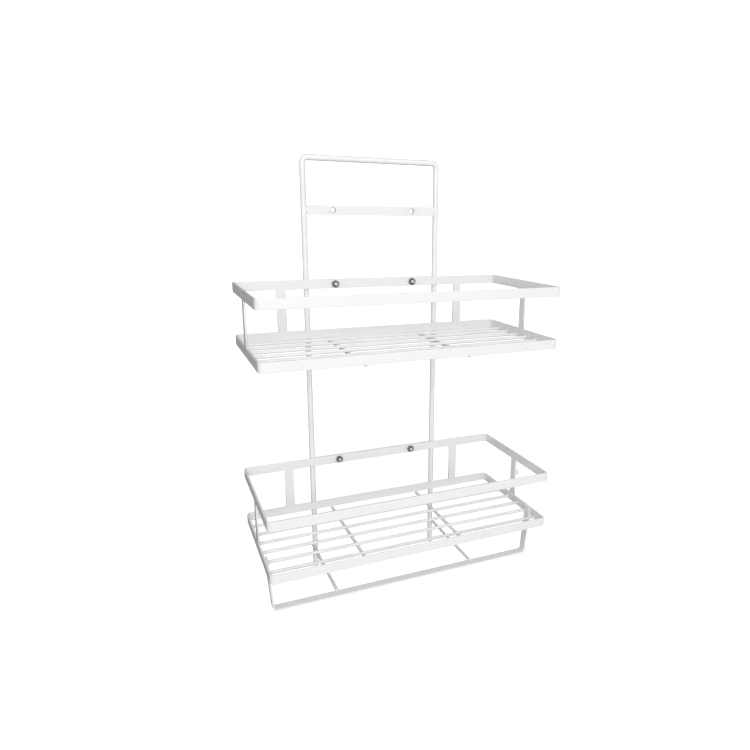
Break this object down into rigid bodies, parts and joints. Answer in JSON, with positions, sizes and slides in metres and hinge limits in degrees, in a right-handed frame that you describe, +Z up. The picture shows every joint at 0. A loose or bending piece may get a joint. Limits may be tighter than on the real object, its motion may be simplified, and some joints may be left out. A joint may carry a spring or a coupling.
{
  "type": "shower caddy",
  "caption": "Wall-hung shower caddy of welded wire and flat strip: open-topped baskets bolted to a bent wire back frame, with a towel rail on struts underneath.",
  "frame": {"origin": "midway between the two wall screw holes, on the front face of the top crossbar", "axes": "+Z up, +Y towards the wall, so the front faces -Y; X runs along the baskets, with +X to the right of someone facing the wall"},
  "size_m": [0.3157, 0.147, 0.4765],
  "materials": {
    "white_coated_steel": "smooth satin-gloss white powder coat",
    "fastener_steel": "plain bright steel, slightly dull"
  },
  "bodies": {
    "root": {"back_frame_wire": "white_coated_steel", "basket_nuts": "fastener_steel", "basket_screws": "fastener_steel", "lower_basket_bottom_rim": "white_coated_steel", "lower_basket_cross_wire_left": "white_coated_steel", "lower_basket_cross_wire_right": "white_coated_steel", "lower_basket_floor_wire_1": "white_coated_steel", "lower_basket_floor_wire_2": "white_coated_steel", "lower_basket_floor_wire_3": "white_coated_steel", "lower_basket_floor_wire_4": "white_coated_steel", "lower_basket_floor_wire_5": "white_coated_steel", "lower_basket_floor_wire_6": "white_coated_steel", "lower_basket_rear_upright_left": "white_coated_steel", "lower_basket_rear_upright_right": "white_coated_steel", "lower_basket_side_upright_left": "white_coated_steel", "lower_basket_side_upright_right": "white_coated_steel", "lower_basket_top_rim": "white_coated_steel", "lower_crossbar": "white_coated_steel", "middle_crossbar": "white_coated_steel", "side_peg": "white_coated_steel", "strut_left": "white_coated_steel", "strut_right": "white_coated_steel", "top_crossbar": "white_coated_steel", "towel_rail": "white_coated_steel", "upper_basket_bottom_rim": "white_coated_steel", "upper_basket_cross_wire_left": "white_coated_steel", "upper_basket_cross_wire_right": "white_coated_steel", "upper_basket_floor_wire_1": "white_coated_steel", "upper_basket_floor_wire_2": "white_coated_steel", "upper_basket_floor_wire_3": "white_coated_steel", "upper_basket_floor_wire_4": "white_coated_steel", "upper_basket_floor_wire_5": "white_coated_steel", "upper_basket_floor_wire_6": "white_coated_steel", "upper_basket_rear_upright_left": "white_coated_steel", "upper_basket_rear_upright_right": "white_coated_steel", "upper_basket_side_upright_left": "white_coated_steel", "upper_basket_side_upright_right": "white_coated_steel", "upper_basket_top_rim": "white_coated_steel"}
  },
  "joints": []
}
